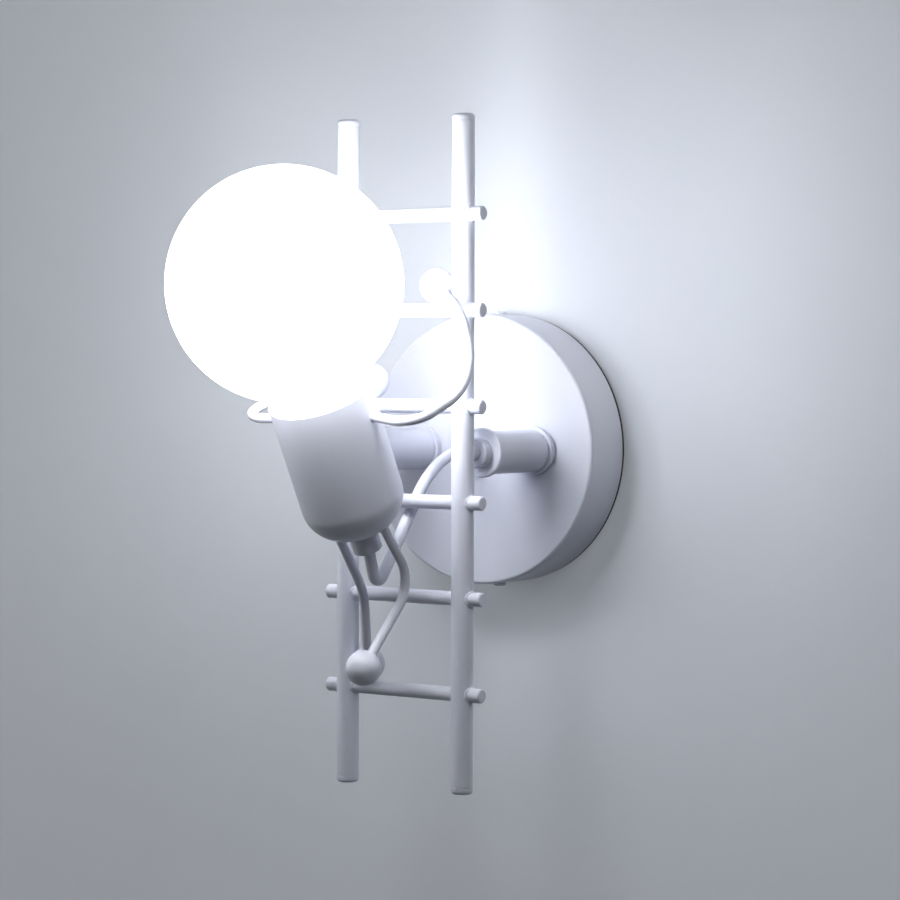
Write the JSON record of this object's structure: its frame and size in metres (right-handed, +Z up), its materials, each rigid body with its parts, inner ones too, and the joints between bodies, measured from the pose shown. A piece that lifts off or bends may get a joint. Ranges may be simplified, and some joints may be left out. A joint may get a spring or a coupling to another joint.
{
  "type": "wall lamp",
  "caption": "Wall lamp formed as a stick figure with an opal globe bulb for a head, leaning out from a small ladder that stands off a round wall canopy.",
  "frame": {"origin": "middle of the canopy on the wall, half way between the two wall screws", "axes": "+Z up, +Y into the wall, the lamp stands out along -Y, +X to the right of a person who faces it"},
  "size_m": [0.118, 0.2082, 0.283],
  "materials": {
    "white_paint": "satin white powder coat",
    "zinc": "zinc plated steel",
    "brass": "bare stamped brass",
    "cream_plastic": "moulded, matte",
    "porcelain": "thin glaze",
    "brown_wire": "soft insulation",
    "blue_wire": "soft insulation",
    "earth_wire": "soft insulation",
    "black_foam": "soft closed foam",
    "cap_metal": "nickel plated",
    "black_glass": "black insulator",
    "white_plastic": "moulded, matte",
    "board": "white solder mask",
    "chips": "phosphor",
    "opal_glass": "opal, matte"
  },
  "bodies": {
    "lamp": {"wall_bracket": "zinc", "earth_screw": "zinc", "earth_lug": "zinc", "terminal_block": "cream_plastic", "terminal_screws": "brass", "block_screw": "zinc", "canopy": "white_paint", "wall_seal": "black_foam", "side_screws": "white_paint", "base_ring_left": "white_paint", "base_ring_right": "white_paint", "standoff_tube_left": "white_paint", "standoff_tube_right": "white_paint", "front_ring_left": "white_paint", "front_ring_right": "white_paint", "spacer_left": "white_paint", "spacer_right": "white_paint", "standoff_screws": "zinc", "standoff_washers": "zinc", "rail_left": "white_paint", "rail_right": "white_paint", "rail_end_caps": "white_paint", "rail_inserts": "zinc", "rung_1": "white_paint", "rung_2": "white_paint", "rung_3": "white_paint", "rung_4": "white_paint", "rung_5": "white_paint", "rung_6": "white_paint", "canopy_nipple": "zinc", "canopy_nut": "zinc", "canopy_coupling": "white_paint", "supply_tube": "white_paint", "cup_coupling": "white_paint", "cup_nipple": "zinc", "cup_nut": "zinc", "lamp_cup": "white_paint", "arm_left": "white_paint", "arm_right": "white_paint", "hand_left": "white_paint", "hand_right": "white_paint", "leg_left": "white_paint", "leg_right": "white_paint", "foot_left": "white_paint", "foot_right": "white_paint", "holder_base": "cream_plastic", "holder_body": "porcelain", "screw_shell": "brass", "centre_contact": "brass", "holder_terminals": "brass", "live_wire": "brown_wire", "neutral_wire": "blue_wire", "earth_wire": "earth_wire"},
    "bulb_lift": {"bulb_tip": "cap_metal"},
    "bulb": {"bulb_insulator": "black_glass", "bulb_cap": "cap_metal", "bulb_collar": "white_plastic", "led_board": "board", "led_chips": "chips", "bulb_globe": "opal_glass"}
  },
  "joints": [
    {"name": "bulb_rise", "type": "slide", "parent": "lamp", "child": "bulb_lift", "axis": [0, -0.454, 0.891], "range_m": [0, 0.0109]},
    {"name": "bulb_turn", "type": "hinge", "parent": "bulb_lift", "child": "bulb", "pos_m": [0, -0.1095, -0.0315], "axis": [0, -0.454, 0.891], "range_deg": [0, 1080]}
  ],
  "couplings": [
    {"joint": "bulb_rise", "follows": "bulb_turn", "m_per_rad": 0.00057757}
  ]
}
